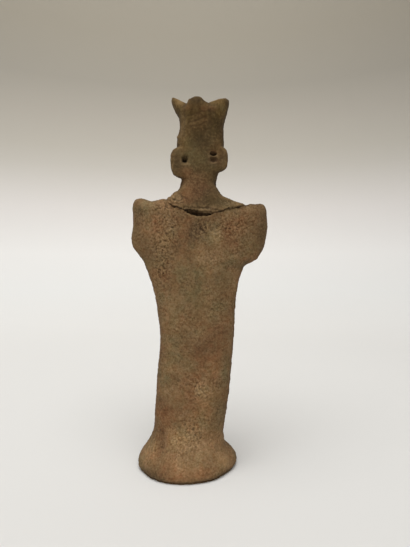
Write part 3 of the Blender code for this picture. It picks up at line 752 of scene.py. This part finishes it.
def work_clay(skin):
    """Smooths the joints, opens the seam and gives the wet clay its dents. Returns how dark the cracks and
    the insides are."""
    skin.soften(SOFTENING)
    skin.smooth(BLENDING, where=np.clip(strength(skin, BLENDS), 0, 1))
    skin.let_lines_wander()
    seam = sum(line.amount * skin.line(line.path, line.width, SEAM_WAVER) for line in SEAM)
    cracks = drawn(skin, CENTRE_CRACKS)
    # painted shade inside the gap and the holes, which are also pushed in
    insides = np.clip(INSIDE_REACH * strength(skin, INSIDES), 0, 1)
    push = face_relief(skin) - strength(skin, DENTS)
    push += sum(height * skin.noise(size, seed) for height, size, seed in LUMPS)
    push -= SEAM_DEPTH * seam + CENTRE_CRACKS.depth * np.clip(cracks, 0, 1)
    crack = seam**SEAM_POWER + CENTRE_CRACKS.tint * cracks
    for lines in SHALLOW_LINES:
        felt = drawn(skin, lines)
        push -= lines.depth * felt
        crack += lines.tint * felt
    push += ragged_edge(skin) - panel_right_of_crease(skin) - tucked_sole(skin)
    skin.push(push)
    back = skin.points[:, 1] < BACK_HALF
    skin.points[:, 1] += (INSIDE_DEPTH * insides - strength(skin, [LEDGE])) * back
    skin.smooth(1, SETTLING)
    return np.clip(crack, 0, 1), insides


def mirrored(path):
    """The same path on the other half of the face."""
    return [(2 * FACE_MIDDLE - x, z) for x, z in path]


def face_relief(skin):
    """How far the face stands out or in."""
    other_half = [mark._replace(x=2 * FACE_MIDDLE - mark.x) for mark in FACE_DENTS]
    relief = -strength(skin, FACE_DENTS) - strength(skin, other_half)
    for path, width, height in FACE_LINES:
        halves = [skin.line(half, width, FACE_WAVER, face=True) for half in (path, mirrored(path))]
        relief += height * np.maximum(*halves)
    return relief


def ragged_edge(skin):
    """How far the broken edge of the flap stands out or in."""
    height, size, sunk = 0.5, 1.1, 0.15
    return skin.line(BROKEN_EDGE, width=0.5, waver=0.1) * (height * skin.noise(size, seed=17.0) - sunk)


def panel_right_of_crease(skin):
    """How deep the crown's back is pressed in to the right of its crease, and less further right."""
    depth, left, full, fade = 0.4, 8.6, 9.5, 4.0
    bottom, top, edge = 132.0, 146.5, 3.0
    x, y, z = skin.points.T
    past = ramp(x, left, full) * np.exp(-np.maximum(x - full, 0) / fade)
    height = ramp(z, bottom, bottom + edge) * ramp(z, top, top - edge)
    return depth * past * height * (y < BACK_HALF)


def tucked_sole(skin):
    """How far the edge of the sole is drawn in."""
    z = skin.points[:, 2]
    return TUCK_DEPTH * np.exp(-((z / TUCK_HEIGHT) ** 2)) * (z > SOLE)


def wear_surface(skin):
    """Roughens the fired surface with grit, ragged pits and the creases between crumbs of clay. Returns how
    strong the pits are."""
    plain, patches, least = 0.22, 0.35, 0.05
    rough = np.clip(plain + strength(skin, PITTED) + patches * skin.noise(8.0, seed=21.0), least, 1)
    z = skin.points[:, 2]
    calm = 1 - strength(skin, [CALM_FACE]) - 0.5 * ramp(z, *CALM_RIM)
    creases = ramp(np.abs(skin.noise(1.4, seed=2.0)), 0.13, 0)
    pits = ramp(skin.noise(1.1, seed=8.0), 0.27, 0.47)
    push = sum((even + more * rough) * skin.noise(size, seed) for even, more, size, seed in GRIT)
    push -= CREASE_DEPTH * rough * creases + PIT_DEPTH * rough**2 * pits
    skin.push(push * calm * (z > SOLE))
    skin.points[:, 2] = np.maximum(skin.points[:, 2], 0.0)
    skin.keep("rough", rough)
    return pits * rough


def recess(skin, passes):
    """How far each point lies below the surface around it."""
    normals = skin.normals()
    kept = skin.points.copy()
    skin.smooth(passes)
    around, skin.points = skin.points, kept
    return ((around - kept) * normals).sum(axis=1)


def keep_stains(skin):
    """Keeps the stains and the soot, which are patchy, with the painted shade that goes with them: shade along
    edges, on the head and crown and under the foot's edge, and painted highlights on the rims of the ears'
    holes.
    """
    patchy = 1.0 + 0.9 * skin.noise(2.6, seed=31.0, octaves=3)
    # the pale broken edge of the flap, and painted highlights on the rims of the ears' holes
    broken_edge_and_lit_rims = skin.line(BROKEN_EDGE, width=0.35, waver=0.4) + LIT_RIM_LINES.tint * drawn(skin, LIT_RIM_LINES)
    unbroken = {"pale": broken_edge_and_lit_rims, "dark": EDGE_SHADE_LINES.tint * drawn(skin, EDGE_SHADE_LINES)}
    for name, marks in STAINS.items():
        skin.keep(name, strength(skin, marks) * patchy + unbroken.get(name, 0.0))
    # soot and painted shade rising up the head and crown
    soot_and_shade = sum(share * ramp(skin.points[:, 2], start, full) for share, start, full in SOOT_AND_SHADE_RISES)
    soot_and_shade += strength(skin, [SOOT_AND_SHADE_PATCH])
    skin.keep("soot_and_shade", soot_and_shade * (1.0 + 0.25 * skin.noise(4.0, seed=41.0)))


def keep_wear(skin, crack, insides, pits):
    """Keeps the tone of the clay, with painted shade on its sides and just over the ground; its cracks, with
    painted shade inside the holes and the gap; its soil, with painted shade in the hollows; and its worn
    bumps.
    """
    low = recess(skin, 8)
    # painted shade where the clay turns to the side
    sides = ramp(np.abs(skin.normals()[:, 1]), 0.75, 0)
    # painted shade just over the ground, under the foot's edge
    ground = np.exp(-((skin.points[:, 2] / GROUND_HEIGHT) ** 2))
    skin.keep("tone", PLAIN_TONE + strength(skin, TONES) - PAINTED_SIDE_SHADE * sides - PAINTED_GROUND_SHADE * ground)
    # dark cracks, and painted shade inside the gap and the holes
    skin.keep("crack", np.maximum(crack, insides * (0.75 + 0.5 * skin.noise(1.2, seed=51.0))))
    # soil and painted shade in the hollows, darker the deeper they lie
    skin.keep("soil_and_hollow_shade", low / SOIL_AND_SHADE_DEPTH + 0.15 * pits)
    skin.keep("worn", -low / WORN_HEIGHT * (0.7 + 1.2 * pits))


def thin(piece, most):
    """Joins the triangles of a piece's flattest places until at most this many are left."""
    piece.data.calc_loop_triangles()
    decimate = piece.modifiers.new("thin", "DECIMATE")
    decimate.ratio = most / len(piece.data.loop_triangles)
    full = piece.data
    piece.data = as_modified(piece)
    piece.modifiers.clear()
    bpy.data.meshes.remove(full)


class IDOL_OT_model_figure(bpy.types.Operator):
    """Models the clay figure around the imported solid"""

    bl_idname = "idol.model_figure"
    bl_label = "Model the Figure"

    def execute(self, context):
        settings = context.scene.idol_clay
        skin = Skin(grown_skin(settings.skin))
        crack, insides = work_clay(skin)
        pits = wear_surface(skin)
        keep_stains(skin)
        keep_wear(skin, crack, insides, pits)
        skin.write()
        figure = bpy.data.objects.new("figure", skin.mesh)
        context.scene.collection.objects.link(figure)
        thin(figure, settings.triangles)
        figure.data.materials.clear()
        figure.data.materials.append(fired_clay(settings))
        figure.data.shade_smooth()
        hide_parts("idol")
        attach(figure, "root")
        return {"FINISHED"}


class Recipe:
    """A material and short ways to lay out its nodes."""

    def __init__(self, name):
        self.material = bpy.data.materials.new(name)
        self.material.use_nodes = True
        self.tree = self.material.node_tree
        self.shader = self.tree.nodes["Principled BSDF"]
        self.place = self.node("ShaderNodeTexCoord").outputs["Object"]

    def node(self, kind, inputs=None, **settings):
        """A node with its settings and its inputs, which are values or other nodes' outputs."""
        made = self.tree.nodes.new(kind)
        for name, value in settings.items():
            setattr(made, name, value)
        for name, value in (inputs or {}).items():
            self.feed(made.inputs[name], value)
        return made

    def feed(self, socket, value):
        """Gives a socket a value, or another node's output."""
        if isinstance(value, bpy.types.NodeSocket):
            self.tree.links.new(value, socket)
        elif socket.type == "RGBA":
            socket.default_value = (*value, 1.0)[:4]
        else:
            socket.default_value = value

    def grain(self, size, detail=3.0, low=0.0, high=1.0, shift=0.0, start=0.0, end=1.0):
        """Noise with lumps of this many millimetres. Its values from low to high become start to end."""
        inputs = {"Vector": self.place, "Scale": 1 / (size * MM), "Detail": detail, "W": shift}
        found = self.node("ShaderNodeTexNoise", inputs, noise_dimensions="4D").outputs["Fac"]
        inputs = {"Value": found, "From Min": low, "From Max": high, "To Min": start, "To Max": end}
        return self.node("ShaderNodeMapRange", inputs).outputs["Result"]

    def mark(self, name):
        """The strength of one kind of mark, from the mesh."""
        return self.node("ShaderNodeAttribute", attribute_name=name).outputs["Fac"]

    def math(self, operation, one, other):
        return self.node("ShaderNodeMath", {0: one, 1: other}, operation=operation).outputs["Value"]

    def scaled(self, value, factor):
        return self.math("MULTIPLY", value, factor)

    def added(self, one, other):
        return self.math("ADD", one, other)

    def shaded(self, colour, amount):
        """A colour made lighter or darker."""
        inputs = {"Vector": colour, "Scale": amount}
        return self.node("ShaderNodeVectorMath", inputs, operation="SCALE").outputs["Vector"]

    def layer(self, below, above, share, blend="MIX"):
        """One colour laid over another by a share from 0 to 1."""
        inputs = dict(zip(MIX_INPUTS, (share, below, above)))
        return self.node("ShaderNodeMix", inputs, data_type="RGBA", blend_type=blend).outputs[MIX_RESULT]

    def stained(self, below, above, name, share):
        """A colour laid over another where the mesh has one kind of mark, by this share where it is full."""
        return self.layer(below, above, self.scaled(self.mark(name), share))

    def grains(self, below, size, detail, spread, shift, share):
        """A colour broken up by a share into grains that are lighter and darker by this part."""
        dark, light = ([(1 + side * spread) ** power for power in GRAIN_POWERS] for side in (-1, 1))
        tint = self.layer(dark, light, self.grain(size, detail, low=0.3, high=0.7, shift=shift))
        return self.layer(below, tint, share, "MULTIPLY")

    def finish(self, colour, roughness, gloss):
        """Gives the shader its colour, its roughness and its gloss, and returns the material."""
        self.feed(self.shader.inputs["Base Color"], colour)
        self.feed(self.shader.inputs["Roughness"], roughness)
        self.feed(self.shader.inputs["Specular IOR Level"], gloss)
        return self.material


def clouded(clay, below, above, name, size, flecks, shift):
    """A colour laid over another in clouds and flecks, and where the mesh has one kind of mark."""
    clouds = clay.scaled(clay.grain(size, detail=4, low=0.48, high=0.66, shift=shift), 0.55)
    small = clay.scaled(clay.grain(1.8, detail=3, low=0.5, high=0.7, shift=shift + 1.0), flecks)
    return clay.layer(below, above, clay.added(clay.added(clouds, small), clay.scaled(clay.mark(name), 0.6)))


def specked(clay, below, above, low, high, shift, share):
    """A colour laid over another in small specks where the clay is rough."""
    specks = clay.grain(0.8, detail=2, low=low, high=high, shift=shift)
    return clay.layer(below, above, clay.scaled(clay.math("MULTIPLY", clay.mark("rough"), specks), share))


def fired_clay(settings):
    """Gritty unglazed clay: buff, with red and olive clouds, pale crust, soot with painted shade on the head,
    soil with painted shade in the hollows, painted shade in the holes and along edges, and painted highlights
    on the rims of the ears' holes.
    """
    clay = Recipe("fired_clay")
    tone = clay.layer(settings.body, settings.buff, clay.grain(12.0, detail=4, low=0.36, high=0.64))
    tone = clouded(clay, tone, settings.red, "red", size=9.0, flecks=0.45, shift=3.0)
    tone = clouded(clay, tone, settings.olive, "olive", size=7.0, flecks=0.28, shift=7.0)
    # soot and painted shade on the head, the crown and the flap
    tone = clay.layer(tone, settings.soot_and_shade, clay.mark("soot_and_shade"))
    tone = clay.stained(tone, settings.red, "red", 0.45)
    tone = clay.stained(tone, settings.olive, "olive", 0.3)
    tone = clay.stained(tone, settings.pale, "pale", 0.5)
    # dark stains, among them painted shade and painted shadow
    tone = clay.stained(tone, settings.soil_and_shade, "dark", 0.6)
    clouds = clay.grain(6.0, detail=3, low=0.3, high=0.7, shift=11.0, start=0.84, end=1.16)
    # the tone, which carries painted shade on the sides, just over the ground and in some marked places
    tone = clay.shaded(tone, clay.math("MULTIPLY", clouds, clay.added(clay.mark("tone"), 0.5)))
    tone = clay.grains(tone, size=1.9, detail=4, spread=0.17, shift=1.0, share=1.0)
    rougher = clay.added(clay.scaled(clay.mark("rough"), 0.9), 0.48)
    tone = clay.grains(tone, size=0.6, detail=3, spread=0.55, shift=5.0, share=rougher)
    tone = specked(clay, tone, settings.pale, low=0.53, high=0.68, shift=13.0, share=0.68)
    tone = specked(clay, tone, settings.soil_and_shade, low=0.56, high=0.7, shift=17.0, share=0.5)
    tone = clay.stained(tone, settings.pale, "worn", 0.35)
    # soil and painted shade in the hollows
    tone = clay.stained(tone, settings.soil_and_shade, "soil_and_hollow_shade", 0.7)
    # dark cracks, and painted shade inside the gap and the holes
    tone = clay.stained(tone, settings.depth, "crack", 0.9)
    height = clay.added(clay.grain(0.8, detail=3), clay.scaled(clay.grain(0.35, detail=2), 0.5))
    bump = clay.node("ShaderNodeBump", {"Height": height, "Strength": 0.8, "Distance": 0.2 * MM})
    clay.feed(clay.shader.inputs["Normal"], bump.outputs["Normal"])
    return clay.finish(tone, roughness=0.92, gloss=0.25)


def placed(name, data, place, turn):
    """A lamp or a camera at a place, turned by three angles."""
    holder = bpy.data.objects.new(name, data)
    holder.location = place
    holder.rotation_euler = turn
    bpy.context.scene.collection.objects.link(holder)
    return holder


class IDOL_OT_set_stage(bpy.types.Operator):
    """Sets up the sweep, the light and the camera"""

    bl_idname = "idol.set_stage"
    bl_label = "Set the Stage"

    def execute(self, context):
        settings = context.scene.idol_stage
        sweep()
        lamp = bpy.data.lights.new("lamp", "AREA")
        lamp.energy = settings.lamp_power
        lamp.shape = "DISK"
        lamp.size = settings.lamp_size
        beam = settings.lamp_aim - settings.lamp_place
        placed("lamp", lamp, settings.lamp_place, beam.to_track_quat("-Z", "Y").to_euler())
        world = bpy.data.worlds.new("room")
        world.use_nodes = True
        light = world.node_tree.nodes["Background"].inputs
        light["Color"].default_value = (*settings.room_colour, 1.0)
        light["Strength"].default_value = settings.room_light
        context.scene.world = world
        context.scene.view_settings.view_transform = "Standard"
        camera = bpy.data.cameras.new("camera")
        camera.lens = settings.camera_lens
        camera.clip_start = 10 * MM
        turn = (settings.camera_pitch, 0, 0)
        context.scene.camera = placed("camera", camera, settings.camera_place, turn)
        return {"FINISHED"}


def sweep():
    """A round floor whose edge curves up into a wall, in one turned sheet."""
    bm = bmesh.new()
    flat = SWEEP_RADIUS - SWEEP_CURVE
    outline = [(0.0, 0.0), (flat, 0.0)]
    for angle in np.linspace(0, pi / 2, CURVE_STEPS + 1)[1:]:
        outline.append((flat + SWEEP_CURVE * sin(angle), SWEEP_CURVE - SWEEP_CURVE * cos(angle)))
    outline.append((SWEEP_RADIUS, SWEEP_HEIGHT))
    points = [bm.verts.new((x, 0, z)) for x, z in outline]
    edges = [bm.edges.new(pair) for pair in zip(points, points[1:])]
    bmesh.ops.spin(
        bm,
        geom=points + edges,
        cent=(0, 0, 0),
        axis=(0, 0, 1),
        angle=2 * pi,
        steps=ROUND_STEPS,
        use_merge=True,
    )
    bmesh.ops.remove_doubles(bm, verts=bm.verts, dist=MERGE)
    bmesh.ops.recalc_face_normals(bm, faces=bm.faces)
    mesh = bpy.data.meshes.new("sweep")
    bm.to_mesh(mesh)
    bm.free()
    mesh.shade_smooth()
    mesh.materials.append(paper())
    made = bpy.data.objects.new("sweep", mesh)
    bpy.context.scene.collection.objects.link(made)
    return made


def paper():
    """Matt paper with painted light and shade: darker towards the top and the sides of the wall."""
    sheet = Recipe("paper")
    place = sheet.node("ShaderNodeSeparateXYZ", {"Vector": sheet.place}).outputs
    colours = sheet.node("ShaderNodeValToRGB", {"Fac": place["Z"]})
    stops = colours.color_ramp.elements
    lowest, *between, highest = sorted(PAPER_TONES)
    stops[0].position = lowest
    stops[1].position = highest
    for height in between:
        stops.new(height)
    for stop, height in zip(stops, sorted(PAPER_TONES)):
        stop.color = (*PAPER_TONES[height], 1.0)
    tone = sheet.node("ShaderNodeMapRange", {"Value": place["Y"], **PAPER_AWAY}).outputs["Result"]
    tone = sheet.added(tone, sheet.scaled(place["X"], PAPER_RIGHT))
    tone = sheet.added(tone, sheet.scaled(sheet.scaled(place["X"], place["X"]), PAPER_SIDES))
    return sheet.finish(sheet.shaded(colours.outputs["Color"], tone), roughness=1.0, gloss=0.0)


class IDOL_PT_panel(bpy.types.Panel):
    """Lists the steps and their settings"""

    bl_idname = "IDOL_PT_panel"
    bl_label = "Votive Idol"
    bl_space_type = "VIEW_3D"
    bl_region_type = "UI"
    bl_category = "Idol"

    def draw(self, context):
        scene = context.scene
        steps = (IDOL_OT_model_figure, scene.idol_clay), (IDOL_OT_set_stage, scene.idol_stage)
        for step, settings in steps:
            box = self.layout.box()
            for name in settings.__annotations__:
                box.prop(settings, name)
            box.operator(step.bl_idname)


CLASSES = (ClayProperties, StageProperties, IDOL_OT_model_figure, IDOL_OT_set_stage, IDOL_PT_panel)


def register():
    for cls in CLASSES:
        bpy.utils.register_class(cls)
    bpy.types.Scene.idol_clay = PointerProperty(type=ClayProperties)
    bpy.types.Scene.idol_stage = PointerProperty(type=StageProperties)


def unregister():
    del bpy.types.Scene.idol_stage
    del bpy.types.Scene.idol_clay
    for cls in reversed(CLASSES):
        bpy.utils.unregister_class(cls)


def main():
    register()
    bpy.ops.idol.model_figure()
    bpy.ops.idol.set_stage()


if __name__ == "__main__":
    main()
